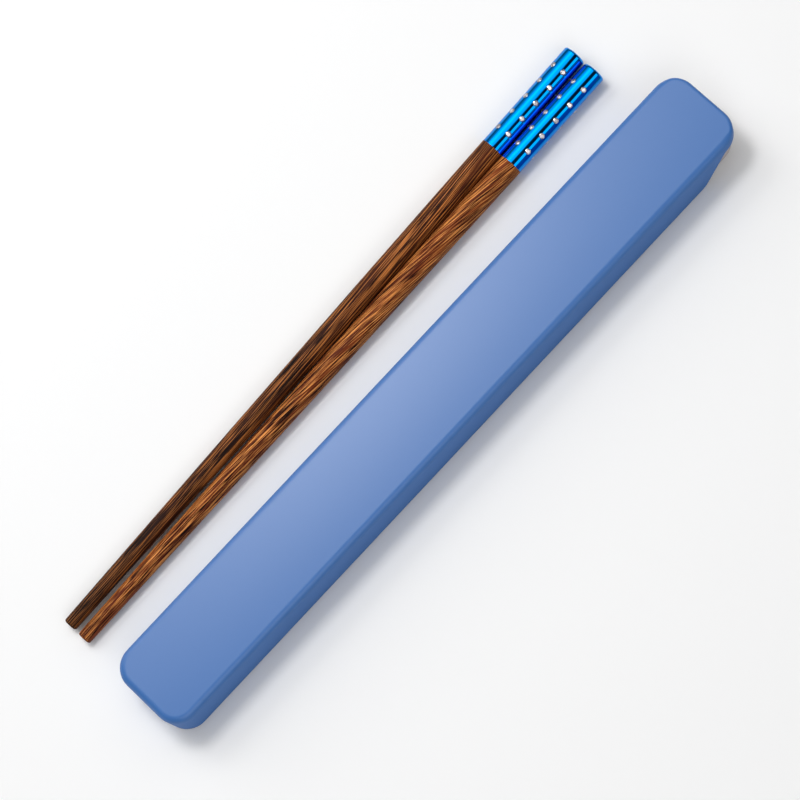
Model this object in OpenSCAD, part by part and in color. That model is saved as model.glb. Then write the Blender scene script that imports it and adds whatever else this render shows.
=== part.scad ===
// Travel case for one pair of chopsticks: a moulded tray, a cover that slides off it
// lengthwise, and the two capped chopsticks that lie beside it.
// Millimetres, +Z up. The origin is the middle of the tray's underside, the open mouth of
// the cover faces +X, and the chopsticks lie on the +Y side with their caps towards +X.

/* [Chopsticks] */
// Length of a chopstick, from tip to cap end
stick_length = 228; // [190:1:250]
// Diameter of the cap, and of the wood where it meets the cap
grip_diameter = 7.4; // [6.6:0.1:8.5]
// Diameter of the tip
tip_diameter = 4.4; // [3.4:0.1:5.4]
// Fullness of the taper: 1 is a straight cone, more swells towards the cap
taper_power = 1.35; // [1.1:0.05:1.8]
// Rounding of the tip's edge
tip_round = 0.7; // [0.3:0.1:1.2]
// Length of the metal cap
cap_length = 37.6; // [30:0.1:50]
// Wall of the metal cap
cap_wall = 0.9; // [0.8:0.05:1.2]
// Thickness of the cap's closed end
cap_end = 1.2; // [0.8:0.1:2]
// Rounding of the cap's end edge
cap_round = 0.7; // [0.3:0.1:1]
// Radial glue gap between the wooden tenon and the cap
glue_gap = 0.05; // [0.02:0.01:0.1]
// Free space past the end of the tenon
tenon_end_gap = 0.3; // [0.2:0.1:1]
// Bevel on the end of the tenon
tenon_bevel = 0.4; // [0.2:0.1:0.8]

/* [Crystals] */
// Rows of crystals round a cap
crystal_rows = 5; // [3:1:5]
// Crystals along a row
row_crystals = 5; // [3:1:6]
// Diameter of a crystal
crystal_diameter = 1.8; // [1.2:0.1:1.9]
// Depth of the drilled seat
crystal_seat = 0.5; // [0.4:0.05:0.6]
// Depth of the girdle's upper edge below the cap's outside
crystal_sink = 0.08; // [0.04:0.01:0.12]
// Height of the faceted crown above the girdle
crystal_crown = 0.25; // [0.15:0.05:0.35]
// Diameter of the flat table on top of the crown
table_diameter = 1; // [0.5:0.1:1.1]
// Facets round the crown
crown_facets = 8; // [6:1:10]
// Radial gap between a crystal and its seat
crystal_gap = 0.04; // [0.02:0.01:0.08]
// From the cap's end to the first crystal
crystal_top_margin = 6.9; // [4:0.1:8]
// From the cap's open edge to the last crystal
crystal_low_margin = 5.9; // [3:0.1:8]

/* [Chopsticks as they lie] */
// From the cover's side to the middle of the pair
pair_aside = 21.1; // [14:0.1:40]
// How far the pair is shifted along the case
pair_shift = -7.1; // [-30:0.1:30]
// Turn of the pair away from the case
pair_angle = 1.4; // [-3:0.1:3]
// How far the near chopstick lies ahead of the far one
near_ahead = -0.1; // [-5:0.1:5]
// Clear gap between the two chopsticks
pair_gap = 0.2; // [0.1:0.05:1]
// Turn of the far chopstick about its axis, from the top towards the case
far_angle = 30; // [20:1:60]
// Turn of the near chopstick about its axis, from the top towards the case
near_angle = 36; // [20:1:60]

/* [Tray] */
// Free length left beside the chopsticks in the tray
end_play = 7; // [4:0.5:30]
// Free width left beside the two chopsticks in the tray
side_play = 6.7; // [5:0.1:14]
// Height of the tray's walls above the laid chopsticks
head_room = 2.7; // [2:0.1:8]
// Thickness of the tray's floor
tray_floor = 1.4; // [1:0.1:2]
// Thickness of the tray's walls
tray_wall = 2; // [1.8:0.1:2.4]
// Rounding of the tray's lower outside edge
tray_edge = 2.5; // [1:0.1:3]
// Rounding of the trough's floor edge
trough_edge = 1.5; // [0.8:0.1:2]
// Depth of the guide groove in each long wall
groove_depth = 0.8; // [0.7:0.05:1]
// From the tray's upper edge down to the guide groove
groove_drop = 1.4; // [1:0.1:2]

/* [Cover] */
// Thickness of the cover's walls
cover_wall = 1.2; // [1:0.1:1.6]
// Thickness of the cover's roof
cover_roof = 1.4; // [1:0.1:2]
// Space between the tray's upper edge and the roof
roof_space = 3.3; // [2.5:0.1:8]
// Radius of the cover's corners in plan
plan_corner = 7.4; // [6.6:0.1:9]
// Rounding of the cover's upper edge along the sides and the back end
top_edge = 2.2; // [1.8:0.1:3]
// Rounding of the visor's front edge
front_edge = 1; // [0.6:0.1:1.6]
// Height of the cover's skirt above the table
skirt_lift = 0.4; // [0.2:0.1:1]
// Running clearance between cover and tray
slide_gap = 0.3; // [0.2:0.05:0.4]
// Thickness of the rails that run in the tray's grooves
rail_thickness = 1.2; // [0.8:0.1:1.6]
// From the rails' ends to the corners and the mouth
rail_setback = 4; // [2:0.5:10]

/* [Cover mouth] */
// From the visor's end to the foot of the sloped cut
mouth_foot = 17.8; // [14:0.2:30]
// From the visor's end to the head of the sloped cut
mouth_head = 8; // [7:0.2:10]
// Clearance from the tray's upper edge up to the visor
visor_gap = 0.5; // [0.4:0.1:1]
// Rounding where the cut leaves the skirt
foot_round = 3; // [1:0.5:5]
// Rounding where the cut meets the visor
head_round = 2.5; // [1:0.5:4]

/* [Hidden] */
$fn = 64;
taper_steps = 18;
arc_steps = 8;
// Overshoot of a cut past the face that it opens
cut = 1;

grip_r = grip_diameter / 2;
tip_r = tip_diameter / 2;
shaft_length = stick_length - cap_length;
bore_r = grip_r - cap_wall;
tenon_r = bore_r - glue_gap;
tenon_length = cap_length - cap_end - tenon_end_gap;
crystal_r = crystal_diameter / 2;
row_pitch = (cap_length - crystal_top_margin - crystal_low_margin) / (row_crystals - 1);

// The tray is sized round the chopsticks, and the cover round the tray.
trough_length = stick_length + end_play;
trough_width = 2 * grip_diameter + side_play;
tray_length = trough_length + 2 * tray_wall;
tray_width = trough_width + 2 * tray_wall;
tray_height = tray_floor + grip_diameter + head_room;
cover_length = tray_length + 2 * (slide_gap + cover_wall);
cover_width = tray_width + 2 * (slide_gap + cover_wall);
cover_height = tray_height + roof_space + cover_roof;
tray_corner = plan_corner - cover_wall - slide_gap;
visor_underside = tray_height + visor_gap;
groove_height = rail_thickness + 2 * slide_gap;
groove_low = tray_height - groove_drop - groove_height;
rail_back = -cover_length / 2 + plan_corner + rail_setback;
rail_front = cover_length / 2 - mouth_foot - rail_setback;

// A laid chopstick touches the table at its balance point, and its neighbour near the cap.
balance_ratio = 0.58;
touch_ratio = 0.92;
lay_tilt = atan(taper_slope(balance_ratio));
lay_splay = atan(taper_slope(touch_ratio));

STICKS = ["far", "near"];
ROW_ANGLES = [far_angle, near_angle];

function crystal_name(stick, row, place) = str(stick, "_crystal_", row, "_", place);

// Radius of the wood at u, which runs from 0 at the tip to 1 at the cap
function taper_radius(u) = grip_r - (grip_r - tip_r) * pow(1 - u, taper_power);

// Growth of that radius for each millimetre of length
function taper_slope(u) =
    (grip_r - tip_r) * taper_power * pow(1 - u, taper_power - 1) / shaft_length;

// Distance from the axis at the tip to the plane that touches the wood at u
function tangent_reach(u) =
    (taper_radius(u) - taper_slope(u) * u * shaft_length) * cos(atan(taper_slope(u)));

// Points of the arc of radius r that rounds the corner at b, between the lines to a and c
function rounded_corner(a, b, c, r) =
    let (
        to_a = (a - b) / norm(a - b),
        to_c = (c - b) / norm(c - b),
        half = acos(to_a * to_c) / 2,
        middle = (to_a + to_c) / norm(to_a + to_c),
        centre = b + middle * r / sin(half),
        from = b + to_a * r / tan(half) - centre,
        along = b + to_c * r / tan(half) - centre,
        sweep = 180 - 2 * half
    )
    [for (i = [0:arc_steps])
        centre + (from * sin(sweep * (1 - i / arc_steps)) + along * sin(sweep * i / arc_steps)) / sin(sweep)];

// Half of a section: a rectangle from the axis out, with its upper outside corner rounded
module soft_half(reach, height, edge) {
    square([reach, height - edge]);
    square([reach - edge, height]);
    translate([reach - edge, height - edge]) circle(edge);
}

// Whole section: a rectangle standing on the X axis with both upper corners rounded
module soft_section(width, height, edge) {
    for (side = [0, 1]) {
        mirror([side, 0]) soft_half(width / 2, height, edge);
    }
}

// Block standing on z = 0, with rounded corners in plan and a rounded upper edge all round
module soft_block(length, width, height, corner, edge) {
    for (x = [-1, 1], y = [-1, 1]) {
        translate([x * (length / 2 - corner), y * (width / 2 - corner), 0])
            rotate_extrude() soft_half(corner, height, edge);
    }
    rotate([90, 0, 90])
        linear_extrude(length - 2 * corner, center = true) soft_section(width, height, edge);
    rotate([90, 0, 0])
        linear_extrude(width - 2 * corner, center = true) soft_section(length, height, edge);
}

// The same block the other way up, with its lower edge rounded
module soft_trough(length, width, height, corner, edge) {
    translate([0, 0, height]) mirror([0, 0, 1]) soft_block(length, width, height, corner, edge);
}

// What is cut from each long wall for the cover's rail: closed at the front, open at the back
module guide_grooves() {
    back = -tray_length / 2 - cut;
    for (side = [0, 1]) {
        mirror([0, side, 0]) translate([back, tray_width / 2 - groove_depth, groove_low])
            cube([rail_front + slide_gap - back, groove_depth + cut, groove_height]);
    }
}

// Open tray with a guide groove along each side
module inner_tray() {
    color("#c6bcb7") difference() {
        soft_trough(tray_length, tray_width, tray_height, tray_corner, tray_edge);
        translate([0, 0, tray_floor])
            soft_trough(trough_length, trough_width, tray_height - tray_floor + cut,
                        tray_corner - tray_wall, trough_edge);
        guide_grooves();
    }
}

// What is cut from the skirts and the end to leave the visor over the tray's front end
module mouth_cut() {
    end = cover_length / 2;
    low = [end - 2 * mouth_foot, skirt_lift];
    foot = [end - mouth_foot, skirt_lift];
    head = [end - mouth_head, visor_underside];
    high = [end + cut, visor_underside];
    outline = concat(
        [[low.x, skirt_lift - cut], low],
        rounded_corner(low, foot, head, foot_round),
        rounded_corner(foot, head, high, head_round),
        [high, [high.x, skirt_lift - cut]]
    );
    rotate([90, 0, 0]) linear_extrude(cover_width + 2 * cut, center = true) polygon(outline);
}

// One rail on each long wall, which runs in the tray's groove and stops at its front end
module rails() {
    inside = tray_width / 2 - groove_depth + slide_gap;
    root = cover_width / 2 - cover_wall / 2;
    for (side = [0, 1]) {
        mirror([0, side, 0]) translate([rail_back, inside, groove_low + slide_gap])
            cube([rail_front - rail_back, root - inside, rail_thickness]);
    }
}

// Outside of the cover: the sides' rounding runs out through the front end, which has its own
module cover_block() {
    overrun = 2 * plan_corner;
    intersection() {
        translate([overrun / 2, 0, 0])
            soft_block(cover_length + overrun, cover_width, cover_height - skirt_lift, plan_corner, top_edge);
        soft_block(cover_length, cover_width, cover_height - skirt_lift, plan_corner, front_edge);
    }
}

// One-piece cover: roof, skirts, closed back end and visor, with the rails inside
module slide_cover() {
    inner_edge = top_edge - cover_wall;
    color("#6f97d0") {
        difference() {
            translate([0, 0, skirt_lift]) cover_block();
            translate([0, 0, skirt_lift - cut])
                soft_block(cover_length - 2 * cover_wall, cover_width - 2 * cover_wall,
                           cover_height - cover_roof - skirt_lift + cut,
                           plan_corner - cover_wall, inner_edge);
            mouth_cut();
        }
        rails();
    }
}

// Tapered wooden shaft along +X from its tip, with a turned tenon inside the cap
module shaft() {
    tenon_end = shaft_length + tenon_length;
    outline = concat(
        [[0, 0]],
        rounded_corner([0, 0], [tip_r, 0], [tip_r, stick_length], tip_round),
        [for (i = [1:taper_steps]) [taper_radius(i / taper_steps), shaft_length * i / taper_steps]],
        [[tenon_r, shaft_length], [tenon_r, tenon_end - tenon_bevel],
         [tenon_r - tenon_bevel, tenon_end], [0, tenon_end]]
    );
    color("#6b3f1f") rotate([0, 90, 0]) rotate_extrude() polygon(outline);
}

// Places a crystal's seat: along the cap from its end, and round it from the top
module at_seat(stick, row, place) {
    along = stick_length - crystal_top_margin - (place - 1) * row_pitch;
    turn = ROW_ANGLES[stick] + (row - 1) * 360 / crystal_rows;
    translate([along, 0, 0]) rotate([turn, 0, 0]) translate([0, 0, grip_r - crystal_seat]) children();
}

// Drawn metal cap, closed at the end, with a flat-bottomed seat for each crystal
module cap(stick) {
    color("#0a8fe6") difference() {
        translate([shaft_length, 0, 0]) rotate([0, 90, 0]) rotate_extrude() difference() {
            soft_half(grip_r, cap_length, cap_round);
            square([bore_r, cap_length - cap_end]);
        }
        for (row = [1:crystal_rows], place = [1:row_crystals]) {
            at_seat(stick, row, place) cylinder(h = crystal_seat + cut, r = crystal_r + crystal_gap);
        }
    }
}

// Flat-backed crystal: a round girdle with a faceted crown and a flat table
module crystal() {
    shoulder = crystal_seat - crystal_sink;
    color("#eef2f6") {
        cylinder(h = shoulder, r = crystal_r);
        translate([0, 0, shoulder])
            cylinder(h = crystal_crown, r1 = crystal_r, r2 = table_diameter / 2, $fn = crown_facets);
    }
}

// Lays a chopstick on the table beside the case: stick 0 is the far one, stick 1 the near one
module lay(stick) {
    side = 1 - 2 * stick;
    translate([pair_shift, cover_width / 2 + pair_aside, 0]) rotate([0, 0, pair_angle])
        translate([stick * near_ahead - stick_length / 2, side * (tangent_reach(touch_ratio) + pair_gap / 2),
                   tangent_reach(balance_ratio)])
            rotate([0, -lay_tilt, side * lay_splay]) children();
}

inner_tray();
slide_cover();
for (s = [0, 1]) {
    lay(s) shaft();
    lay(s) cap(s);
    for (row = [1:crystal_rows], place = [1:row_crystals]) {
        lay(s) at_seat(s, row, place) crystal();
    }
}
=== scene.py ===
"""Looks of a travel case for one pair of chopsticks.

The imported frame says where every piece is. The two mouldings of the case, the wooden shafts and the
crystals are worked out again here as fine surfaces with their rounded edges, grain and cut facets.
The metal caps keep their solids and get a finish.
"""

import logging
import math
from dataclasses import dataclass
from enum import Enum

import bmesh
import bpy
import numpy as np
from bpy.types import Material, Node, NodeSocket, NodeTree, Object
from mathutils import Matrix, Vector


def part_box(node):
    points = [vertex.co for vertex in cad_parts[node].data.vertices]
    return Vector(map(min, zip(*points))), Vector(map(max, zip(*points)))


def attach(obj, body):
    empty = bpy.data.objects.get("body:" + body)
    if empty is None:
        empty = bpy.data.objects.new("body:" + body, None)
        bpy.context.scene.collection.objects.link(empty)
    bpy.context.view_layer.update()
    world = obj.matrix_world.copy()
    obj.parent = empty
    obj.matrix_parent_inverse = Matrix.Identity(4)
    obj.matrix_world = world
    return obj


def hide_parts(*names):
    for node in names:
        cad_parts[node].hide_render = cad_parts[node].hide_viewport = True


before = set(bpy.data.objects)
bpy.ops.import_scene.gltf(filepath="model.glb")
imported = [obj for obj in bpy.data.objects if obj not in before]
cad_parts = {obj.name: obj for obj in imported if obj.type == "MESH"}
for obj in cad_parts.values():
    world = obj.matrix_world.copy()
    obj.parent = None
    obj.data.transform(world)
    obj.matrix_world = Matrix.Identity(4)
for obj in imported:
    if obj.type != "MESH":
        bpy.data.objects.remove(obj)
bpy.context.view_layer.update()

MM = 0.001
# Points closer than this, in metres, are one point.
WELD = 1e-7
log = logging.getLogger("chopstick_case")


class Body(Enum):
    """Bodies of the frame that a piece can ride on."""

    TRAY = "tray"
    COVER = "cover"
    FAR = "far_chopstick"
    NEAR = "near_chopstick"


class Slot(Enum):
    """Material slots of the record."""

    TRAY = "tray_plastic"
    COVER = "cover_plastic"
    WOOD = "stick_wood"
    CRYSTAL = "crystal"


# Surfaces


@dataclass
class Surface:
    """Points and faces of a mesh, before it becomes an object.

    Attributes:
        points: One row of x, y and z for each point, in metres.
        faces: Point numbers of each face.
    """

    points: np.ndarray
    faces: list[list[int]]

    @classmethod
    def from_grid(cls, grid: np.ndarray) -> "Surface":
        """Joins a grid of points into quads, closed along its second direction.

        Face (i, j) has the corners (i, j), (i, j+1), (i+1, j+1) and (i+1, j), where j wraps round.

        Args:
            grid: Points of shape (rows, columns, 3).

        Returns:
            The surface, with rows that fall on one line still to be merged.
        """
        rows, columns = grid.shape[:2]
        number = np.arange(rows * columns).reshape(rows, columns)
        beside = np.roll(number, -1, axis=1)
        quads = np.stack([number[:-1], beside[:-1], beside[1:], number[1:]], axis=-1)
        return cls(grid.reshape(-1, 3), quads.reshape(-1, 4).tolist())

    def joined(self, other: "Surface") -> "Surface":
        """Returns this surface and another as one."""
        moved = [[corner + len(self.points) for corner in face] for face in other.faces]
        return Surface(np.vstack([self.points, other.points]), self.faces + moved)

    def placed(self, place: Matrix) -> "Surface":
        """Returns this surface moved by a matrix."""
        turn = np.array(place.to_3x3())
        return Surface(self.points @ turn.T + np.array(place.translation), self.faces)

    def to_object(self, name: str, smooth: bool = True, crease: float = 50.0) -> Object:
        """Makes the object, with its doubled points merged and its faces turned outwards.

        Args:
            name: Name of the piece.
            smooth: Whether the faces shade as one round surface.
            crease: Angle in degrees from which an edge stays sharp all the same.

        Returns:
            The object, at the origin.
        """
        mesh = bpy.data.meshes.new(name)
        mesh.from_pydata(self.points.tolist(), [], self.faces)
        shape = bmesh.new()
        shape.from_mesh(mesh)
        bmesh.ops.remove_doubles(shape, verts=shape.verts, dist=WELD)
        bmesh.ops.dissolve_degenerate(shape, edges=shape.edges, dist=WELD)
        bmesh.ops.recalc_face_normals(shape, faces=shape.faces)
        for edge in shape.edges:
            edge.smooth = edge.calc_face_angle(0.0) < math.radians(crease)
        shape.to_mesh(mesh)
        shape.free()
        mesh.polygons.foreach_set("use_smooth", [smooth] * len(mesh.polygons))
        piece = bpy.data.objects.new(name, mesh)
        bpy.context.scene.collection.objects.link(piece)
        return piece


@dataclass(frozen=True)
class Corner:
    """Corner of a profile, in millimetres.

    Attributes:
        offset: Distance outwards from the plan's edge.
        height: Height along the sweep.
        radius: Rounding of the corner.
    """

    offset: float
    height: float
    radius: float = 0.0


def rounded_profile(corners: list[Corner], steps: int = 8, hold: float = 0.1) -> np.ndarray:
    """Rounds the corners of an open profile.

    An arc touches both sides of its corner at radius / tan(half the corner's angle) from it. A point a
    little before the arc and one a little after hold the shading of the flat sides flat.

    Args:
        corners: The corners in order. The first and last stay sharp.
        steps: Steps of each arc.
        hold: Distance of the holding points from their arc, in millimetres.

    Returns:
        Offsets and heights as rows, in millimetres.
    """
    spots = np.array([[corner.offset, corner.height] for corner in corners])
    rows = [spots[:1]]
    for before, spot, after, corner in zip(spots, spots[1:], spots[2:], corners[1:]):
        if corner.radius == 0.0:
            rows.append(spot[None])
            continue
        back = (before - spot) / np.linalg.norm(before - spot)
        ahead = (after - spot) / np.linalg.norm(after - spot)
        half = math.acos(float(back @ ahead)) / 2
        reach = corner.radius / math.tan(half)
        middle = (back + ahead) / np.linalg.norm(back + ahead)
        centre = spot + middle * corner.radius / math.sin(half)
        start = spot + back * reach - centre
        end = spot + ahead * reach - centre
        sweep = math.pi - 2 * half
        share = np.linspace(0, 1, steps + 1)[:, None]
        arc = (start * np.sin(sweep * (1 - share)) + end * np.sin(sweep * share)) / math.sin(sweep)
        rows += [(spot + back * (reach + hold))[None], centre + arc, (spot + ahead * (reach + hold))[None]]
    rows.append(spots[-1:])
    return np.vstack(rows)


@dataclass(frozen=True)
class RoundedPlan:
    """Plan of a moulding: a rectangle along X with round corners, in millimetres.

    Attributes:
        length: Size along X.
        width: Size along Y.
        corner: Radius of the corners.
    """

    length: float
    width: float
    corner: float

    def ring(self, along: np.ndarray, arc_steps: int = 12,
             end_steps: int = 6) -> tuple[np.ndarray, np.ndarray]:
        """Lays points round the plan, anticlockwise from the +X end.

        A corner point is the corner's centre plus the radius times its normal (cos a, sin a), and the
        sides are straight between the corners.

        Args:
            along: X of the points on the long sides, rising, inside the corners.
            arc_steps: Steps of each corner.
            end_steps: Steps of each short side.

        Returns:
            The points and their outward normals, one row each.
        """
        centre = np.array([self.length / 2 - self.corner, self.width / 2 - self.corner])
        ends = np.linspace(-centre[1], centre[1], end_steps + 1)[1:-1]
        sides = [
            np.stack([along[::-1], np.full(len(along), self.width / 2)], axis=1),
            np.stack([np.full(len(ends), -self.length / 2), ends[::-1]], axis=1),
            np.stack([along, np.full(len(along), -self.width / 2)], axis=1),
            np.stack([np.full(len(ends), self.length / 2), ends], axis=1),
        ]
        signs = np.array([[1, 1], [-1, 1], [-1, -1], [1, -1]])
        points, normals = [], []
        for quarter, side in enumerate(sides):
            angle = np.linspace(quarter, quarter + 1, arc_steps + 1) * math.pi / 2
            normal = np.stack([np.cos(angle), np.sin(angle)], axis=1)
            points += [centre * signs[quarter] + self.corner * normal, side]
            normals += [normal, np.tile(normal[-1], (len(side), 1))]
        return np.vstack(points), np.vstack(normals)

    def spine(self, points: np.ndarray) -> np.ndarray:
        """Drops points on the middle line of the plan, which ends half a width before its ends."""
        reach = (self.length - self.width) / 2
        return np.stack([np.clip(points[:, 0], -reach, reach), np.zeros(len(points))], axis=1)


def swept_shell(plan: RoundedPlan, profile: np.ndarray, along: np.ndarray, lift: np.ndarray | None = None,
                fill_steps: int = 3) -> np.ndarray:
    """Carries a profile round a plan and closes both its ends on the plan's middle line.

    Point (i, j) is ring point j moved by offset i along its normal, at height i plus lift (i, j). The flat
    ends run in equal steps from the first and last rings to the middle line.

    Args:
        plan: Plan that the profile follows.
        profile: Offsets and heights as rows, in millimetres.
        along: X of the ring's points on the long sides.
        lift: What is added to each height, of shape (profile rows, ring points).
        fill_steps: Rings from an end of the profile to the middle line.

    Returns:
        Grid of points of shape (rows, ring points, 3), in millimetres.
    """
    base, normal = plan.ring(along)
    flat = base[None] + profile[:, 0, None, None] * normal[None]
    height = np.repeat(profile[:, 1, None], len(base), axis=1)
    if lift is not None:
        height = height + lift
    rings = np.concatenate([flat, height[..., None]], axis=-1)
    share = np.linspace(1, 0, fill_steps + 1)[:-1, None, None]

    def fill(ring: np.ndarray) -> np.ndarray:
        """Returns the rings between the middle line and this one, middle line first."""
        middle = np.concatenate([plan.spine(ring[:, :2]), ring[:, 2:]], axis=1)
        return ring[None] * (1 - share) + middle[None] * share

    return np.concatenate([fill(rings[0]), rings, fill(rings[-1])[::-1]])


# Finishes


def linear(code: str) -> tuple[float, float, float, float]:
    """Turns an sRGB hex colour into the linear colour that shaders take, by the standard's curve.

    Args:
        code: Colour such as #8090a0.

    Returns:
        Red, green, blue and a full alpha.
    """
    srgb = np.array([int(code[i:i + 2], 16) for i in (1, 3, 5)]) / 255
    value = np.where(srgb <= 0.04045, srgb / 12.92, ((srgb + 0.055) / 1.055) ** 2.4)
    return (*value.tolist(), 1.0)


# Inputs of a node by name or number, each a value or the output that feeds it.
Feeds = dict[str | int, object]


def add_node(tree: NodeTree, kind: str, inputs: Feeds | None = None, **settings: object) -> Node:
    """Adds a node with its settings and links.

    Args:
        tree: Tree that gets the node.
        kind: Blender's name of the node's type.
        inputs: What feeds the node.
        **settings: Properties of the node.

    Returns:
        The node.
    """
    node = tree.nodes.new(kind)
    for name, value in settings.items():
        setattr(node, name, value)
    for key, value in (inputs or {}).items():
        if isinstance(value, NodeSocket):
            tree.links.new(value, node.inputs[key])
        else:
            node.inputs[key].default_value = value
    return node


@dataclass(frozen=True)
class Finish:
    """What all finishes share: a name and a shader on the object's own coordinates."""

    name: str

    def feeds(self, tree: NodeTree, where: NodeSocket) -> Feeds:
        """Adds the finish's own nodes.

        Args:
            tree: Tree that gets the nodes.
            where: Coordinates in metres.

        Returns:
            What feeds the shader.
        """
        raise NotImplementedError

    def material(self, lay: Matrix | None = None) -> Material:
        """Makes the material.

        Args:
            lay: Place of a pattern that runs along the piece's own X instead of the object's.

        Returns:
            The material.
        """
        made = bpy.data.materials.new(self.name)
        made.use_nodes = True
        tree = made.node_tree
        tree.nodes.clear()
        where = add_node(tree, "ShaderNodeTexCoord").outputs["Object"]
        if lay is not None:
            where = add_node(tree, "ShaderNodeMapping",
                             {"Vector": where, "Location": lay.translation, "Rotation": lay.to_euler()},
                             vector_type="TEXTURE").outputs[0]
        shader = add_node(tree, "ShaderNodeBsdfPrincipled", self.feeds(tree, where))
        add_node(tree, "ShaderNodeOutputMaterial", {"Surface": shader.outputs[0]})
        return made

    @staticmethod
    def noise(tree: NodeTree, where: NodeSocket, cell_mm: tuple[float, float, float],
              detail: float) -> NodeSocket:
        """Adds noise with cells of a real size.

        Args:
            tree: Tree that gets the nodes.
            where: Coordinates in metres.
            cell_mm: Size of a cell along the three axes.
            detail: Finer layers in the noise.

        Returns:
            The noise, from 0 to 1.
        """
        cells = add_node(tree, "ShaderNodeMapping",
                         {"Vector": where, "Scale": [size * MM for size in cell_mm]}, vector_type="TEXTURE")
        made = add_node(tree, "ShaderNodeTexNoise",
                        {"Vector": cells.outputs[0], "Scale": 1.0, "Detail": detail})
        return made.outputs["Fac"]


@dataclass(frozen=True)
class MouldedPlastic(Finish):
    """Injection-moulded plastic from a fine-blasted mould: satin, with a very fine even grain.

    Attributes:
        colour: Colour of the plastic.
        cloud: Colour of the faint clouds in it.
        roughness: Roughness of the satin surface.
        skirt_roughness: Roughness of the upright walls, which the mould's blasting leaves coarser.
        skirt_mm: Heights between which the one turns into the other.
        cloud_mm: Size of the clouds.
        grain_mm: Size of the mould's grain. The real one is about 0.15, drawn coarser so that it shows.
        grain_depth_mm: Depth of the grain.
    """

    colour: str
    cloud: str
    roughness: float
    skirt_roughness: float
    skirt_mm: tuple[float, float]
    cloud_mm: float = 9.0
    grain_mm: float = 0.4
    grain_depth_mm: float = 0.012

    def feeds(self, tree: NodeTree, where: NodeSocket) -> Feeds:
        """Adds the clouds, the sheen that changes with height and the mould's grain.

        Args:
            tree: Tree that gets the nodes.
            where: Coordinates in metres.

        Returns:
            What feeds the shader.
        """
        clouds = self.noise(tree, where, (self.cloud_mm,) * 3, detail=3.0)
        tint = add_node(tree, "ShaderNodeMix",
                        {"Factor": clouds, "A": linear(self.colour), "B": linear(self.cloud)},
                        data_type="RGBA")
        height = add_node(tree, "ShaderNodeSeparateXYZ", {0: where})
        low, high = (level * MM for level in self.skirt_mm)
        sheen = add_node(tree, "ShaderNodeMapRange",
                         {"Value": height.outputs["Z"], "From Min": low, "From Max": high,
                          "To Min": self.skirt_roughness, "To Max": self.roughness})
        grain = self.noise(tree, where, (self.grain_mm,) * 3, detail=1.0)
        relief = add_node(tree, "ShaderNodeBump",
                          {"Height": grain, "Strength": 0.15, "Distance": self.grain_depth_mm * MM})
        # ABS and polypropylene bend light about as glass does.
        return {"Base Color": tint.outputs["Result"], "Roughness": sheen.outputs[0],
                "Normal": relief.outputs[0], "IOR": 1.52}


@dataclass(frozen=True)
class Streaks:
    """One layer of the wood's grain: streaks drawn out along it.

    Attributes:
        colour: Colour of the streaks.
        size_mm: Length and width of a streak.
        level: Levels of the noise between which the streaks set in. Lower ones give more of them.
        detail: Finer layers in the noise.
    """

    colour: str
    size_mm: tuple[float, float]
    level: tuple[float, float]
    detail: float


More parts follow.
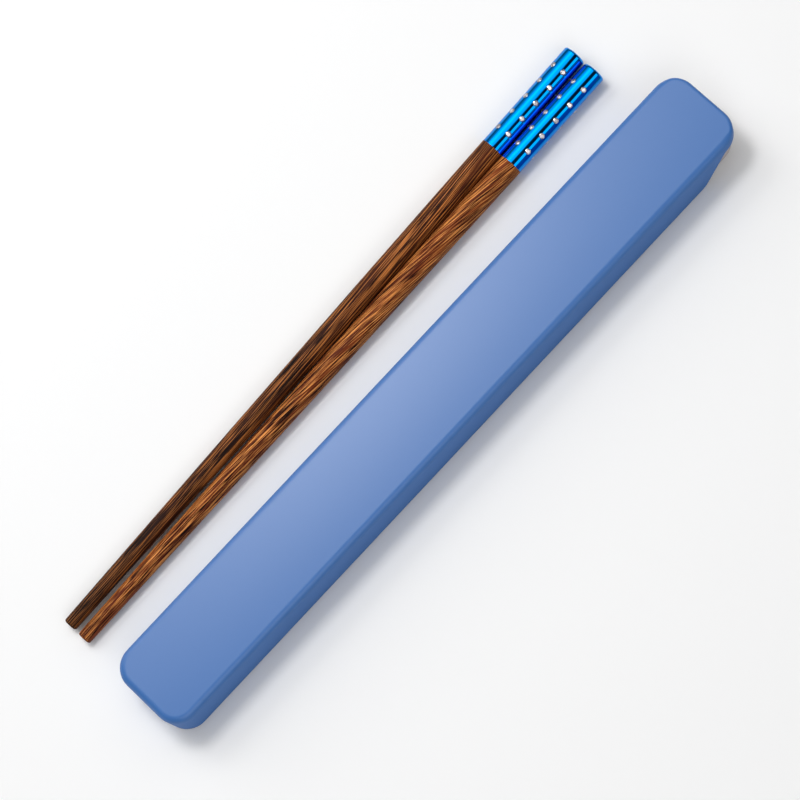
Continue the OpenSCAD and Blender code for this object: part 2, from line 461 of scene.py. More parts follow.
@dataclass(frozen=True)
class OiledWood(Finish):
    """Oiled dark hardwood, turned along the grain: brown, with pale parenchyma lines and open pores.

    Attributes:
        dark: Colour of the wood under the streaks.
        bands: Broad warmer bands.
        lines: Pale lines.
        pores: Open pores, drawn wider than the real 0.15 mm so that they show.
        slant: Angle between the spiral grain and the chopstick at the cap, in degrees.
        tip_tone: Share of the colour that is left at the tip. Below 1 the wood darkens towards it.
        spiral_mm: Radius at which the grain has that slant.
        wood_mm: Length of the bare wood, over which the slant grows and the tone changes.
        pore_depth_mm: Depth of the pores.
    """

    dark: str
    bands: Streaks
    lines: Streaks
    pores: Streaks
    slant: float
    tip_tone: float
    spiral_mm: float = 3.7
    wood_mm: float = 190.0
    pore_depth_mm: float = 0.03

    def feeds(self, tree: NodeTree, where: NodeSocket) -> Feeds:
        """Adds the layers of the grain and the tone along the chopstick.

        The grain is straight at the tip and turns faster towards the cap. At x along the chopstick it has
        turned by x**2 * tan(slant) / (2 * spiral_mm * wood_mm).

        Args:
            tree: Tree that gets the nodes.
            where: Coordinates in metres, from the tip along X.

        Returns:
            What feeds the shader.
        """
        along = add_node(tree, "ShaderNodeSeparateXYZ", {0: where}).outputs["X"]
        squared = add_node(tree, "ShaderNodeMath", {0: along, 1: along}, operation="MULTIPLY")
        turn = math.tan(math.radians(self.slant)) / (2.0 * self.spiral_mm * MM * self.wood_mm * MM)
        twist = add_node(tree, "ShaderNodeMath", {0: squared.outputs[0], 1: turn}, operation="MULTIPLY")
        grain = add_node(tree, "ShaderNodeVectorRotate", {"Vector": where, "Angle": twist.outputs[0]},
                         rotation_type="X_AXIS").outputs[0]
        colour = linear(self.dark)
        for layer in (self.bands, self.lines, self.pores):
            length, width = layer.size_mm
            first, full = layer.level
            noise = self.noise(tree, grain, (length, width, width), layer.detail)
            share = add_node(tree, "ShaderNodeMapRange",
                             {"Value": noise, "From Min": first, "From Max": full}).outputs[0]
            colour = add_node(tree, "ShaderNodeMix",
                              {"Factor": share, "A": colour, "B": linear(layer.colour)},
                              data_type="RGBA").outputs["Result"]
        tone = add_node(tree, "ShaderNodeMapRange",
                        {"Value": along, "From Max": self.wood_mm * MM,
                         "To Min": self.tip_tone, "To Max": 1.0})
        tint = add_node(tree, "ShaderNodeMix", {"Factor": 1.0, "A": colour, "B": tone.outputs[0]},
                        data_type="RGBA", blend_type="MULTIPLY")
        # The pores are the last layer, so share is theirs.
        sheen = add_node(tree, "ShaderNodeMapRange", {"Value": share, "To Min": 0.55, "To Max": 0.75})
        relief = add_node(tree, "ShaderNodeBump",
                          {"Height": share, "Strength": 0.5, "Distance": self.pore_depth_mm * MM},
                          invert=True)
        # The oil has sunk in, so the wood keeps little sheen.
        return {"Base Color": tint.outputs["Result"], "Roughness": sheen.outputs[0],
                "Normal": relief.outputs[0], "Specular IOR Level": 0.12}


@dataclass(frozen=True)
class AnodisedMetal(Finish):
    """Polished aluminium, dyed blue by anodising: a mirror with a deep colour and slight clouding.

    Attributes:
        deep: Colour where the dye is dense.
        light: Colour where the dye is thinner.
        roughness: Roughness of the polished surface.
        spread: Share by which the clouds change the roughness, up and down.
        cloud_mm: Size of the patches of denser dye.
    """

    deep: str
    light: str
    roughness: float
    spread: float = 0.2
    cloud_mm: float = 5.0

    def feeds(self, tree: NodeTree, where: NodeSocket) -> Feeds:
        """Adds the clouds of the dye.

        Args:
            tree: Tree that gets the nodes.
            where: Coordinates in metres.

        Returns:
            What feeds the shader.
        """
        clouds = self.noise(tree, where, (self.cloud_mm,) * 3, detail=2.0)
        tint = add_node(tree, "ShaderNodeMix",
                        {"Factor": clouds, "A": linear(self.deep), "B": linear(self.light)},
                        data_type="RGBA")
        sheen = add_node(tree, "ShaderNodeMapRange",
                         {"Value": clouds, "To Min": self.roughness * (1 - self.spread),
                          "To Max": self.roughness * (1 + self.spread)})
        return {"Base Color": tint.outputs["Result"], "Roughness": sheen.outputs[0], "Metallic": 1.0}


@dataclass(frozen=True)
class FoiledCrystal(Finish):
    """Cut glass with a silver foil behind it: each facet throws back its own share of the light, and that
    share is painted into the facet's colour as a painted glint.

    Attributes:
        painted_glint: Colour of the brightest facets, a painted glint.
        painted_dark: Colour of the dullest facets, a painted dark reflection.
        roughness: Roughness of the polished facets.
        tone: Name of the attribute that holds each facet's share of the painted glint.
    """

    painted_glint: str
    painted_dark: str
    roughness: float
    tone: str = "facet_painted_glint"

    def feeds(self, tree: NodeTree, where: NodeSocket) -> Feeds:
        """Adds the colour of the facets, with their painted glints and painted dark reflections.

        Args:
            tree: Tree that gets the nodes.
            where: Coordinates in metres, which the facets don't need.

        Returns:
            What feeds the shader.
        """
        # Each facet's share mixes a painted glint or a painted dark reflection into its colour.
        share = add_node(tree, "ShaderNodeAttribute", attribute_name=self.tone)
        tint = add_node(tree, "ShaderNodeMix",
                        {"Factor": share.outputs["Fac"], "A": linear(self.painted_dark), "B": linear(self.painted_glint)},
                        data_type="RGBA")
        # The foil throws most of the light back as a metal does.
        return {"Base Color": tint.outputs["Result"], "Metallic": 0.75, "Roughness": self.roughness}


# Moulded ABS: an even blue, satin on top and duller down the skirts.
COVER_FINISH = MouldedPlastic("satin_blue_abs", "#3b6eb1", "#3c6fb2",
                              roughness=0.34, skirt_roughness=0.75, skirt_mm=(14.0, 15.6))
# Moulded polypropylene: a soft, waxy warm grey, painted somewhat darker than its own colour as painted
# shade for the part under the visor.
TRAY_FINISH = MouldedPlastic("warm_grey_polypropylene", "#b2a8a4", "#b6aca8",
                             roughness=0.45, skirt_roughness=0.6, skirt_mm=(2.0, 4.0))
# Turned hardwood, oiled: long straight lines, dark towards the tip.
FAR_FINISH = OiledWood("oiled_hardwood_dark", "#200b05",
                       bands=Streaks("#4c1f0a", (80.0, 1.5), (0.4, 0.6), 2.0),
                       lines=Streaks("#da8540", (26.0, 0.28), (0.49, 0.62), 2.5),
                       pores=Streaks("#0b0301", (12.0, 0.26), (0.55, 0.66), 1.0),
                       slant=3.0, tip_tone=0.4)
# The same hardwood from a warmer piece, whose grain winds round it.
NEAR_FINISH = OiledWood("oiled_hardwood_warm", "#5c240b",
                        bands=Streaks("#7c3712", (50.0, 1.6), (0.4, 0.6), 2.0),
                        lines=Streaks("#e9964b", (12.0, 0.25), (0.49, 0.62), 2.5),
                        pores=Streaks("#140401", (10.0, 0.26), (0.52, 0.62), 1.0),
                        slant=-12.0, tip_tone=1.0)
# Dyed and polished aluminium: mirror bands of light and dark blue.
CAP_FINISH = AnodisedMetal("polished_anodised_aluminium", "#007fd6", "#0089df", roughness=0.07)
# Foiled glass: small white and grey glints, painted into the facets' colours as painted highlights and
# painted dark reflections.
CRYSTAL_FINISH = FoiledCrystal("foil_backed_cut_glass", "#e6e2e6", "#8c878e", roughness=0.14)


# The case


def dress(piece: Object, material: Material, body: Body, node: str) -> None:
    """Gives a new piece its material and body, and hides the solid that it stands for.

    Args:
        piece: The piece.
        material: Its finish.
        body: Body that it moves with.
        node: Solid that it replaces.
    """
    piece.data.materials.append(material)
    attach(piece, body.value)
    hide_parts(node)
    log.info("%s on %s: %d faces", piece.name, body.value, len(piece.data.polygons))


def box_mm(node: str) -> tuple[np.ndarray, np.ndarray]:
    """Returns the lowest and highest corner of a solid, in millimetres."""
    low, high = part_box(node)
    return np.array(low) / MM, np.array(high) / MM


@dataclass
class SlideCover:
    """One-piece cover: roof, skirts, closed back end and visor, with rails inside. Sizes in millimetres.

    Attributes:
        node: Solid that it stands for.
        corner: Radius of the corners in plan.
        wall: Thickness of the skirts.
        roof: Thickness of the roof.
        top_edge: Rounding of the upper edge along the sides and the back end.
        front_edge: Rounding of the visor's front edge.
        crown: How much lower the roof lies at its sides than along its middle.
        lip_edge: Rounding of the skirts' lower edges.
        mouth_foot: From the visor's end to the foot of the sloped cut.
        mouth_head: From the visor's end to the head of the sloped cut.
        foot_round: Rounding of the cut's foot.
        head_round: Rounding of the cut's head.
        visor_low: Height of the visor's lower edge.
        rail_heights: Lower and upper height of the rails.
        rail_inside: Distance of a rail's face from the middle.
        rail_setback: From the rails' ends to the corners and the mouth.
        rail_edge: Rounding of the rails' edges.
    """

    node: str = "slide_cover"
    corner: float = 7.4
    wall: float = 1.2
    roof: float = 1.4
    top_edge: float = 2.2
    front_edge: float = 1.0
    crown: float = 0.25
    lip_edge: float = 0.35
    mouth_foot: float = 17.8
    mouth_head: float = 8.0
    foot_round: float = 3.0
    head_round: float = 2.5
    visor_low: float = 12.0
    rail_heights: tuple[float, float] = (8.6, 9.8)
    rail_inside: float = 12.25
    rail_setback: float = 4.0
    rail_edge: float = 0.25

    def lower_edge(self, x: np.ndarray, end: float, skirt: float) -> np.ndarray:
        """Height of the lower edge along the case.

        The edge runs flat along the skirt, turns up on an arc at the foot, climbs in a straight line and
        turns flat again on an arc at the head. An arc touches its lines at radius times tan(slope / 2).

        Args:
            x: Places along the case.
            end: X of the visor's end.
            skirt: Height of the skirt's edge.

        Returns:
            The heights.
        """
        foot, head = end - self.mouth_foot, end - self.mouth_head
        slope = math.atan2(self.visor_low - skirt, head - foot)
        foot_reach = self.foot_round * math.tan(slope / 2)
        head_reach = self.head_round * math.tan(slope / 2)
        low_arc = skirt + self.foot_round - np.sqrt(
            np.maximum(self.foot_round ** 2 - (x - foot + foot_reach) ** 2, 0))
        high_arc = self.visor_low - self.head_round + np.sqrt(
            np.maximum(self.head_round ** 2 - (x - head - head_reach) ** 2, 0))
        line = skirt + (x - foot) * math.tan(slope)
        return np.select(
            [x < foot - foot_reach, x < foot + foot_reach * math.cos(slope),
             x < head - head_reach * math.cos(slope), x < head + head_reach],
            [np.full_like(x, skirt), low_arc, line, high_arc], self.visor_low)

    def shell(self) -> Surface:
        """Carries the wall's section round the plan and lifts its lower edge over the mouth.

        Below the shoulder each height rises by the lower edge's rise, in full at the lip and not at all
        at the shoulder. Round the front corners the upper edge's arc shrinks towards its corner point, from
        top_edge to front_edge. The roof falls by crown * (y / half the width) ** 2, and this fades down the
        rounded edge.

        Returns:
            The cover without its rails.
        """
        low, high = box_mm(self.node)
        skirt, top, end = low[2], high[2], high[0]
        plan = RoundedPlan(high[0] - low[0], high[1] - low[1], self.corner)
        inside, ceiling = -self.wall, top - self.roof
        inner_edge = self.top_edge - self.wall
        # From here the flats are filled up to the plan's middle line.
        middle = -2 * self.top_edge
        arc_steps, fill_steps = 10, 8
        profile = rounded_profile([
            Corner(middle, top), Corner(0, top, self.top_edge),
            Corner(0, skirt, self.lip_edge), Corner(inside, skirt, self.lip_edge),
            Corner(inside, ceiling, inner_edge), Corner(middle, ceiling)], steps=arc_steps)
        # An arc has one point more than steps, and a holding point on either side.
        arc_rows = arc_steps + 3
        straight = end - self.corner
        mouth = end - self.mouth_foot - self.foot_round
        skirt_points, mouth_points = 90, 61
        along = np.concatenate([np.linspace(-straight, mouth, skirt_points)[1:-1],
                                np.linspace(mouth, straight, mouth_points)[:-1]])
        base, normal = plan.ring(along)
        rise = self.lower_edge(base[:, 0], end, skirt) - skirt
        lip_top = skirt + 2 * self.lip_edge
        shoulder = ceiling - inner_edge - self.lip_edge
        share = np.clip((shoulder - profile[:, 1]) / (shoulder - lip_top), 0, 1)
        grid = swept_shell(plan, profile, along, share[:, None] * rise[None], fill_steps)
        # Round a front corner the edge widens from where its normal has turned this far sideways.
        front_turn = 0.7
        sideways = np.clip((abs(normal[:, 1]) - front_turn) / (1 - front_turn), 0, 1)
        wide = np.where(normal[:, 0] > 0, sideways ** 2 * (3 - 2 * sideways), 1.0)
        shrink = (self.front_edge + (self.top_edge - self.front_edge) * wide) / self.top_edge
        arc, rows = profile[1:arc_rows + 1], slice(fill_steps + 1, fill_steps + arc_rows + 1)
        grid[rows, :, :2] = base + (arc[:, 0, None] * shrink)[..., None] * normal
        grid[rows, :, 2] = top - (top - arc[:, 1, None]) * shrink
        fade = np.clip((grid[..., 2] - top + self.top_edge) / self.top_edge, 0, 1)
        outer = np.arange(len(grid)) < len(grid) // 2
        grid[..., 2] -= self.crown * (grid[..., 1] / high[1]) ** 2 * fade * outer[:, None]
        return Surface.from_grid(grid * MM)

    def rail(self, side: int) -> Surface:
        """Sweeps one rail along a long wall: a rounded section in Y and Z, carried along X.

        Args:
            side: 1 for the far wall, -1 for the near one.

        Returns:
            The rail.
        """
        low, high = box_mm(self.node)
        back = low[0] + self.corner + self.rail_setback
        front = high[0] - self.mouth_foot - self.rail_setback
        root = high[1] - self.wall / 2
        deep, tall = root - self.rail_inside, self.rail_heights[1] - self.rail_heights[0]
        section = RoundedPlan(tall, deep, self.rail_edge)
        profile = rounded_profile([
            Corner(-2 * self.rail_edge, back), Corner(0, back, self.rail_edge),
            Corner(0, front, self.rail_edge), Corner(-2 * self.rail_edge, front)], steps=4, hold=0.02)
        grid = swept_shell(section, profile, np.zeros(1), fill_steps=1)
        height = grid[..., 0] + sum(self.rail_heights) / 2
        across = side * (grid[..., 1] + (root + self.rail_inside) / 2)
        return Surface.from_grid(np.stack([grid[..., 2], across, height], axis=-1) * MM)

    def build(self) -> None:
        """Makes the cover and dresses it."""
        made = self.shell()
        for side in (1, -1):
            made = made.joined(self.rail(side))
        piece = made.to_object("cover_shell")
        dress(piece, COVER_FINISH.material(), Body.COVER, self.node)


@dataclass
class InnerTray:
    """Open tray with a guide groove along each side for the cover's rails. Sizes in millimetres.

    Attributes:
        node: Solid that it stands for.
        corner: Radius of the corners in plan.
        wall: Thickness of the wall.
        floor: Thickness of the floor.
        lower_edge: Rounding of the lower outside edge.
        upper_edge: Rounding of the wall's upper edges.
        trough_edge: Rounding of the trough's floor edge.
        groove_heights: Lower and upper height of the grooves.
        groove_depth: Depth of the grooves.
        groove_edge: Rounding of the grooves' edges.
        groove_front: X of the grooves' closed front ends.
    """

    node: str = "inner_tray"
    corner: float = 5.9
    wall: float = 2.0
    floor: float = 1.4
    lower_edge: float = 2.5
    upper_edge: float = 0.3
    trough_edge: float = 1.5
    groove_heights: tuple[float, float] = (8.3, 10.1)
    groove_depth: float = 0.8
    groove_edge: float = 0.12
    groove_front: float = 99.5

    def shell(self) -> Surface:
        """Carries the wall's section round the plan and sinks the grooves into it.

        In the grooves' rows a point (x, y) of the plan stays where it is ahead of the grooves' front ends.
        Behind them |y| is at most half the width less the row's depth, which cuts straight through the
        corners.

        Returns:
            The tray.
        """
        low, high = box_mm(self.node)
        top, half_width = high[2], high[1]
        plan = RoundedPlan(high[0] - low[0], 2 * half_width, self.corner)
        # From here the flats are filled up to the plan's middle line.
        middle = -self.wall - 1.5 * self.trough_edge
        under, over = self.groove_heights
        profile = rounded_profile([
            Corner(middle, low[2]), Corner(0, low[2], self.lower_edge),
            Corner(0, under, self.groove_edge), Corner(-self.groove_depth, under, self.groove_edge),
            Corner(-self.groove_depth, over, self.groove_edge), Corner(0, over, self.groove_edge),
            Corner(0, top, self.upper_edge), Corner(-self.wall, top, self.upper_edge),
            Corner(-self.wall, low[2] + self.floor, self.trough_edge),
            Corner(middle, low[2] + self.floor)], steps=8, hold=0.05)
        straight = high[0] - self.corner
        # The step at the grooves' front ends is two hairs long, and depths are compared to a hair.
        side_points, hair = 61, 0.001
        along = np.linspace(-straight, straight, side_points)[1:-1]
        step = self.groove_front + np.array([-hair, hair])
        along = np.sort(np.concatenate([along, step]))
        beside = abs(profile[:, 1] - (under + over) / 2) < over - under
        rows = beside & (profile[:, 0] > -self.groove_depth - hair)
        base, _ = plan.ring(along)
        flat = np.repeat(base[None], rows.sum(), axis=0)
        limit = half_width + profile[rows, 0, None]
        sunk = np.clip(flat[..., 1], -limit, limit)
        flat[..., 1] = np.where(flat[..., 0] < self.groove_front, sunk, flat[..., 1])
        fill_steps = 3
        grid = swept_shell(plan, profile, along, fill_steps=fill_steps)
        grid[fill_steps:-fill_steps, :, :2][rows] = flat
        return Surface.from_grid(grid * MM)

    def build(self) -> None:
        """Makes the tray and dresses it."""
        piece = self.shell().to_object("tray_shell")
        dress(piece, TRAY_FINISH.material(), Body.TRAY, self.node)


# The chopsticks


@dataclass
class Crystal:
    """Flat-backed round stone with a brilliant-cut crown. Sizes in millimetres.

    Attributes:
        diameter: Diameter of the girdle.
        seat: Depth of the drilled seat.
        sink: Depth of the girdle's upper edge below the cap's outside.
        crown: Height of the crown.
        table: Diameter of the table, across its corners.
        star: Radius of the points where star and kite facets meet, as a share of the girdle's.
        sides: Sides of the table.
    """

    diameter: float = 1.8
    seat: float = 0.5
    sink: float = 0.08
    crown: float = 0.25
    table: float = 1.08
    star: float = 0.8
    sides: int = 8

    def surface(self) -> Surface:
        """Works out the stone from rings of points round its axis.

        Table corners lie at every turn / sides, star points halfway between them and girdle corners at
        both. A kite is flat if its star points lie on the line from table to girdle, so their height is
        taken from where that line has the radius star * cos(half a side).

        Returns:
            The stone, standing on the origin.
        """
        side = np.arange(self.sides)
        step = 2 * math.pi / self.sides
        girdle_r, table_r = self.diameter / 2, self.table / 2
        star_r = self.star * girdle_r
        shoulder = self.seat - self.sink
        share = (star_r * math.cos(step / 2) - table_r) / (girdle_r - table_r)

        def ring(count: int, radius: float, height: float, shift: float = 0.0) -> np.ndarray:
            """Lays points round the axis, at equal angles from a shift in steps."""
            angle = (np.arange(count) + shift) * 2 * math.pi / count
            return np.column_stack([radius * np.cos(angle), radius * np.sin(angle), np.full(count, height)])

        points = np.vstack([
            ring(self.sides, table_r, shoulder + self.crown),
            ring(self.sides, star_r, shoulder + self.crown * (1 - share), 0.5),
            ring(2 * self.sides, girdle_r, shoulder), ring(2 * self.sides, girdle_r, 0.0)])
        star, rim, base = self.sides, 2 * self.sides, 4 * self.sides
        ahead, behind = (side + 1) % self.sides, (side - 1) % self.sides
        even, odd, after = rim + 2 * side, rim + 2 * side + 1, rim + 2 * ahead
        round_rim = np.arange(2 * self.sides)
        next_rim = (round_rim + 1) % (2 * self.sides)
        faces = [side.tolist(), (base + round_rim[::-1]).tolist()]
        faces += np.stack([side, star + side, ahead], axis=1).tolist()
        faces += np.stack([side, star + behind, even, star + side], axis=1).tolist()
        faces += np.stack([star + side, even, odd], axis=1).tolist()
        faces += np.stack([star + side, odd, after], axis=1).tolist()
        faces += np.stack([rim + round_rim, base + round_rim, base + next_rim, rim + next_rim],
                          axis=1).tolist()
        return Surface(points * MM, faces)


@dataclass
class Chopstick:
    """Tapered wooden shaft with a metal cap and rows of crystals. Sizes in millimetres, angles in degrees.

    Attributes:
        name: Start of its pieces' names.
        body: Body that its pieces ride on.
        finish: Finish of its wood.
        side: 1 for the far chopstick, -1 for the near one.
        ahead: How far it lies ahead of the far one.
        row_angle: Turn of the first row of crystals, from the top towards the case.
        length: Length from tip to cap end.
        grip: Diameter at the cap.
        tip: Diameter at the tip.
        taper: Fullness of the taper.
        tip_round: Rounding of the tip's edge.
        shoulder_round: Rounding of the wood's edge at the cap.
        cap: Length of the cap.
        bore: Diameter of the tenon in the cap.
        tenon_gap: From the tenon's end to the cap's end.
        aside: From the cover's side to the middle of the pair.
        shift: Shift of the pair along the case.
        angle: Turn of the pair away from the case.
        gap: Clear gap between the two.
        balance: Share of the shaft where it touches the table.
        touch: Share of the shaft where the two lie closest.
        top_margin: From the cap's end to the first crystal.
        low_margin: From the cap's open edge to the last crystal.
        rows: Rows of crystals.
        row_crystals: Crystals in a row.
        spin: Turn of each next stone about its own axis, so that no two glint alike.
    """

    name: str
    body: Body
    finish: OiledWood
    side: int
    ahead: float
    row_angle: float
    length: float = 228.0
    grip: float = 7.4
    tip: float = 4.4
    taper: float = 1.35
    tip_round: float = 0.7
    shoulder_round: float = 0.12
    cap: float = 37.6
    bore: float = 5.5
    tenon_gap: float = 1.5
    aside: float = 21.1
    shift: float = -7.1
    angle: float = 1.4
    gap: float = 0.2
    balance: float = 0.58
    touch: float = 0.92
    top_margin: float = 6.9
    low_margin: float = 5.9
    rows: int = 5
    row_crystals: int = 5
    spin: float = 137.5

    @property
    def shaft(self) -> float:
        """Length of the wood that shows."""
        return self.length - self.cap

    def radius(self, share: np.ndarray | float) -> np.ndarray | float:
        """Radius of the wood: grip radius less (grip - tip) / 2 times (1 - share) to the taper's power."""
        return self.grip / 2 - (self.grip - self.tip) / 2 * (1 - share) ** self.taper

    def slope(self, share: float) -> float:
        """Growth of that radius for each millimetre of length, which is its derivative."""
        return (self.grip - self.tip) / 2 * self.taper * (1 - share) ** (self.taper - 1) / self.shaft

    def reach(self, share: float) -> float:
        """Distance from the axis at the tip to the plane that touches the wood at a share of the shaft."""
        rise = self.slope(share)
        return (self.radius(share) - rise * share * self.shaft) * math.cos(math.atan(rise))

    def lay(self, cover_side: float) -> Matrix:
        """Works out how the chopstick lies: on the table at its balance point, against its neighbour.

        Args:
            cover_side: Y of the cover's side.

        Returns:
            The place, with the tip at the origin and the axis along X before it.
        """
        pair = Matrix.Translation((self.shift * MM, (cover_side + self.aside) * MM, 0.0))
        across = self.side * (self.reach(self.touch) + self.gap / 2)
        start = Vector((self.ahead - self.length / 2, across, self.reach(self.balance)))
        return (pair @ Matrix.Rotation(math.radians(self.angle), 4, "Z") @ Matrix.Translation(start * MM)
                @ Matrix.Rotation(self.side * math.atan(self.slope(self.touch)), 4, "Z")
                @ Matrix.Rotation(-math.atan(self.slope(self.balance)), 4, "Y"))

    def wood(self, steps: int = 64, sides: int = 72) -> Surface:
        """Turns the shaft: each profile point (x, r) goes round as (x, r cos a, r sin a).

        Args:
            steps: Steps along the taper.
            sides: Points round the shaft.

        Returns:
            The shaft, with its tip at the origin and its axis along X.
        """
        share = np.linspace(0, 1, steps + 1)
        start, shoulder = 2 * self.tip_round, self.shaft
        # The tip's face stays an inset inside its solid, and the taper's steps end where the edge begins.
        inset, edge_from = 0.01, 0.99
        tip = rounded_profile([Corner(0, inset), Corner(self.tip / 2, inset, self.tip_round),
                               Corner(self.radius(start / self.shaft), start)])
        taper = np.stack([self.radius(share), share * self.shaft], axis=1)
        edge = rounded_profile([Corner(self.radius(edge_from), edge_from * self.shaft),
                                Corner(self.grip / 2, shoulder, self.shoulder_round),
                                Corner(self.bore / 2, shoulder)], hold=0.02)
        end = [[self.bore / 2, self.length - self.tenon_gap], [0, self.length - self.tenon_gap]]
        keep = (taper[:, 1] > start) & (share < edge_from)
        profile = np.vstack([tip, taper[keep], edge, end])
        angle = np.arange(sides) * 2 * math.pi / sides
        across = profile[:, 0, None] * np.stack([np.cos(angle), np.sin(angle)])[:, None]
        grid = np.stack([np.repeat(profile[:, 1, None], sides, axis=1), across[0], across[1]], axis=-1)
        return Surface.from_grid(grid * MM)

    def seat(self, row: int, place: int, stone: Crystal) -> Matrix:
        """Works out where a crystal sits on the chopstick.

        Args:
            row: Number of its row.
            place: Number in the row, from the cap's end.
            stone: The stone.

        Returns:
            The place of the seat's floor, with the stone's axis along Z.
        """
        pitch = (self.cap - self.top_margin - self.low_margin) / (self.row_crystals - 1)
        along = self.length - self.top_margin - (place - 1) * pitch
        turn = math.radians(self.row_angle + (row - 1) * 360 / self.rows)
        spin = math.radians(self.spin * ((row - 1) * self.row_crystals + place))
        deep = self.grip / 2 - stone.seat
        return (Matrix.Translation((along * MM, 0, 0)) @ Matrix.Rotation(turn, 4, "X")
                @ Matrix.Translation((0, 0, deep * MM)) @ Matrix.Rotation(spin, 4, "Z"))

    def build(self, cap_finish: Material, stone_finish: Material) -> None:
        """Makes the wood and the stones, and dresses them and the cap.

        Args:
            cap_finish: Finish of the cap.
            stone_finish: Finish of the stones.
        """
        lay = self.lay(box_mm("slide_cover")[1][1])
        wood = self.wood().placed(lay).to_object(f"{self.name}_wood")
        dress(wood, self.finish.material(lay), self.body, f"{self.name}_shaft")
        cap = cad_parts[f"{self.name}_cap"]
        cap.data.materials.clear()
        cap.data.materials.append(cap_finish)
        log.info("%s keeps its solid", cap.name)
        stone = Crystal()
        # Steps of the painted glints from facet to facet, row to row and stone to stone.
        by_facet, by_row, by_place = 0.618, 0.37, 0.23
        for row in range(1, self.rows + 1):
            for place in range(1, self.row_crystals + 1):
                mark = f"{row}_{place}"
                piece = stone.surface().placed(lay @ self.seat(row, place, stone)).to_object(
                    f"{self.name}_stone_{mark}", smooth=False)
                facets = np.arange(len(piece.data.polygons))
                # Each facet gets its share of the painted glint, kept as a face attribute.
                tone = piece.data.attributes.new(CRYSTAL_FINISH.tone, "FLOAT", "FACE")
                painted_glint_shares = np.modf(facets * by_facet + row * by_row + place * by_place)[0]
                tone.data.foreach_set("value", painted_glint_shares.astype(np.float32))
                dress(piece, stone_finish, self.body, f"{self.name}_crystal_{mark}")


# The studio


@dataclass(frozen=True)
class Softbox:
    """Soft lamp over the table, facing a point on it. Sizes in metres, angles in degrees.

    Attributes:
        name: Name of the lamp.
        lean: Angle from straight up.
        bearing: Direction that it leans to, from +X towards +Y.
        distance: Distance from the point.
        size: Size across the lean and along it.
        radiance: Brightness of its face, where 1 is white.
        target: The point.
    """

    name: str
    lean: float
    bearing: float
    distance: float
    size: tuple[float, float]
    radiance: float
    target: tuple[float, float, float] = (0.0, 0.0, 0.0)

    def build(self) -> None:
        """Makes the lamp. An area lamp's face shows its power over four times its area."""
        lean, bearing = math.radians(self.lean), math.radians(self.bearing)
        towards = Vector((math.cos(bearing), math.sin(bearing), 0))
        away = towards * math.sin(lean) + Vector((0, 0, math.cos(lean)))
        lamp = bpy.data.lights.new(self.name, "AREA")
        lamp.shape = "RECTANGLE"
        lamp.size, lamp.size_y = self.size
        lamp.energy = 4 * self.size[0] * self.size[1] * self.radiance
        across = Vector((0, 0, 1)).cross(towards)
        along = away.cross(across)
        place = Matrix((across, along, away)).transposed().to_4x4()
        place.translation = Vector(self.target) + away * self.distance
        holder = bpy.data.objects.new(self.name, lamp)
        holder.matrix_world = place
        bpy.context.scene.collection.objects.link(holder)


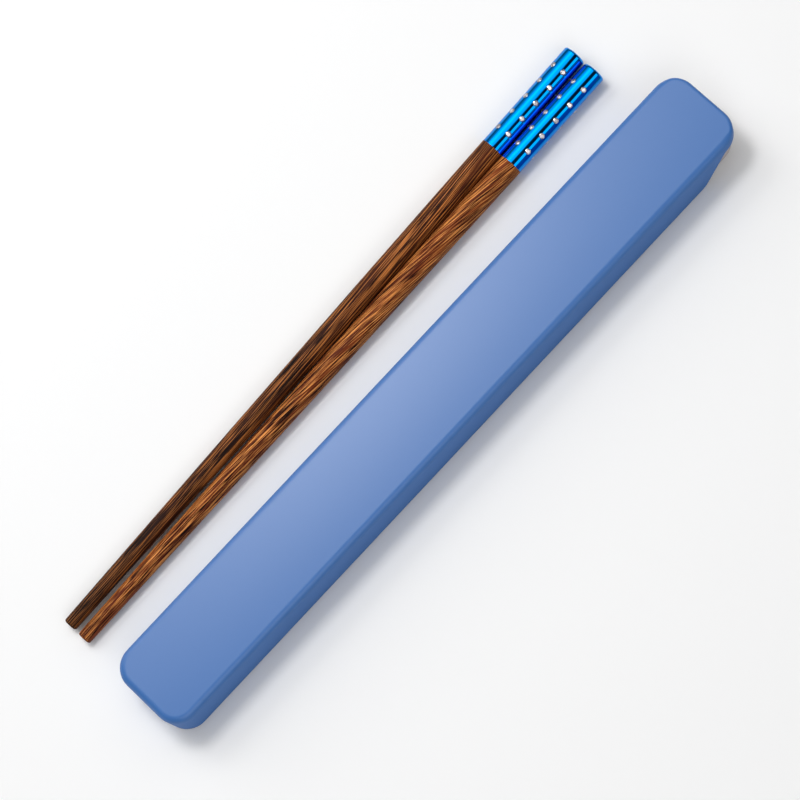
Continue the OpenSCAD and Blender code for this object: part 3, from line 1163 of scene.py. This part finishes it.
@dataclass(frozen=True)
class Studio:
    """Camera, floor, surroundings and lamps. Lengths in metres, angles in degrees.

    Attributes:
        elevation: Height of the camera above the horizon.
        azimuth: Turn of the camera round the object, from -Y towards +X.
        roll: Turn of the picture, clockwise, that lays +X up to the right.
        distance: From the camera to its aim.
        aim: Point in the middle of the picture.
        picture: Width of the picture.
        scale: Pixels of the picture for each millimetre at the aim.
        sensor_mm: Width of the camera's sensor.
        floor_half: Half the floor's size.
        floor_drop: How far the floor lies below the object.
        floor_colour: Colour of the floor.
        pale: Brightness of the surroundings at the horizon.
        dim: Brightness of the surroundings overhead.
        fade: Heights above the horizon where the surroundings start and end to dim.
        lamps: The soft lamps.
    """

    elevation: float = 75.0
    azimuth: float = -7.79
    roll: float = 39.29
    distance: float = 1.0
    aim: tuple[float, float, float] = (-0.005, 0.00955, 0.0)
    picture: int = 800
    scale: float = 3.3594
    sensor_mm: float = 36.0
    floor_half: float = 12.0
    floor_drop: float = 0.0001
    floor_colour: str = "#fafafa"
    pale: float = 0.35
    dim: float = 0.05
    fade: tuple[float, float] = (5.0, 45.0)
    lamps: tuple[Softbox, ...] = (
        Softbox("far_softbox", 22.0, 90.0, 1.1, (1.5, 0.93), 0.6),
        Softbox("far_hot_spot", 21.3, 90.0, 1.0, (0.22, 0.23), 13.6, (0.02, 0.0, 0.0)),
        Softbox("rear_softbox", 62.0, 90.0, 1.2, (0.8, 0.5), 1.6, (-0.32, 0.0, 0.0)),
        Softbox("edge_softbox", 43.0, 90.0, 1.1, (0.4, 0.26), 3.8, (-0.05, 0.0, 0.0)),
        Softbox("cap_band", 23.0, 90.0, 0.95, (0.14, 1.14), 0.8, (0.21, 0.035, 0.0)),
        Softbox("cap_glint", 26.0, 90.0, 0.9, (0.14, 0.28), 0.8, (0.21, 0.035, 0.0)),
        Softbox("cap_rim", 58.0, 90.0, 0.95, (0.14, 0.3), 0.35, (0.21, 0.035, 0.0)),
        Softbox("near_softbox", 35.0, -90.0, 1.0, (0.8, 0.7), 1.35, (-0.27, 0.0, 0.0)),
        Softbox("cap_softbox", 49.0, -90.0, 1.0, (0.17, 0.42), 1.6, (0.25, 0.0, 0.0)),
        Softbox("left_softbox", 45.0, 175.0, 0.95, (0.6, 0.6), 0.15),
        Softbox("end_softbox", 45.0, 15.0, 0.9, (0.6, 0.3), 0.6),
    )

    def add_camera(self) -> None:
        """Sets the camera on the fitted line of sight, with the lens that gives the picture's scale."""
        lift, turn, roll = (math.radians(angle) for angle in (self.elevation, self.azimuth, self.roll))
        back = Vector((math.sin(turn) * math.cos(lift), -math.cos(turn) * math.cos(lift), math.sin(lift)))
        level = Vector((math.cos(turn), math.sin(turn), 0))
        upright = back.cross(level)
        right = level * math.cos(roll) - upright * math.sin(roll)
        up = level * math.sin(roll) + upright * math.cos(roll)
        place = Matrix((right, up, back)).transposed().to_4x4()
        place.translation = Vector(self.aim) + back * self.distance
        lens = bpy.data.cameras.new("camera")
        lens.sensor_width = self.sensor_mm
        lens.lens = self.sensor_mm * self.scale / MM * self.distance / self.picture
        camera = bpy.data.objects.new("camera", lens)
        camera.matrix_world = place
        bpy.context.scene.collection.objects.link(camera)
        bpy.context.scene.camera = camera

    def add_floor(self) -> None:
        """Lays a pale matt floor, which keeps the object's shadow."""
        half = self.floor_half
        corners = np.array([[-half, -half], [half, -half], [half, half], [-half, half]])
        points = np.column_stack([corners, np.full(4, -self.floor_drop)])
        floor = Surface(points, [[0, 1, 2, 3]]).to_object("floor", smooth=False)
        made = bpy.data.materials.new("matt_white_paper")
        made.use_nodes = True
        tree = made.node_tree
        tree.nodes.clear()
        paper = add_node(tree, "ShaderNodeBsdfDiffuse", {"Color": linear(self.floor_colour)})
        add_node(tree, "ShaderNodeOutputMaterial", {"Surface": paper.outputs[0]})
        floor.data.materials.append(made)

    def add_surroundings(self) -> None:
        """Fills the surroundings with grey that dims from the horizon upwards, the same for every ray."""
        world = bpy.data.worlds.new("studio")
        bpy.context.scene.world = world
        world.use_nodes = True
        tree = world.node_tree
        tree.nodes.clear()
        towards = add_node(tree, "ShaderNodeTexCoord")
        parts = add_node(tree, "ShaderNodeSeparateXYZ", {0: towards.outputs["Generated"]})
        low, high = (math.sin(math.radians(height)) for height in self.fade)
        level = add_node(tree, "ShaderNodeMapRange",
                         {"Value": parts.outputs["Z"], "From Min": low, "From Max": high,
                          "To Min": self.pale, "To Max": self.dim}, interpolation_type="SMOOTHSTEP")
        sky = add_node(tree, "ShaderNodeBackground", {"Strength": level.outputs[0]})
        add_node(tree, "ShaderNodeOutputWorld", {"Surface": sky.outputs[0]})

    def build(self) -> None:
        """Makes the camera, floor, surroundings and lamps."""
        bpy.context.scene.view_settings.view_transform = "Standard"
        self.add_camera()
        self.add_floor()
        self.add_surroundings()
        for lamp in self.lamps:
            lamp.build()


def main() -> None:
    """Builds the pieces and the studio."""
    logging.basicConfig(level=logging.INFO, format="%(name)s: %(message)s")
    Studio().build()
    InnerTray().build()
    SlideCover().build()
    cap_finish, stone_finish = CAP_FINISH.material(), CRYSTAL_FINISH.material()
    far = Chopstick("far", Body.FAR, FAR_FINISH, side=1, ahead=0.0, row_angle=30.0)
    near = Chopstick("near", Body.NEAR, NEAR_FINISH, side=-1, ahead=-0.1, row_angle=36.0)
    for chopstick in (far, near):
        chopstick.build(cap_finish, stone_finish)


if __name__ == "__main__":
    main()
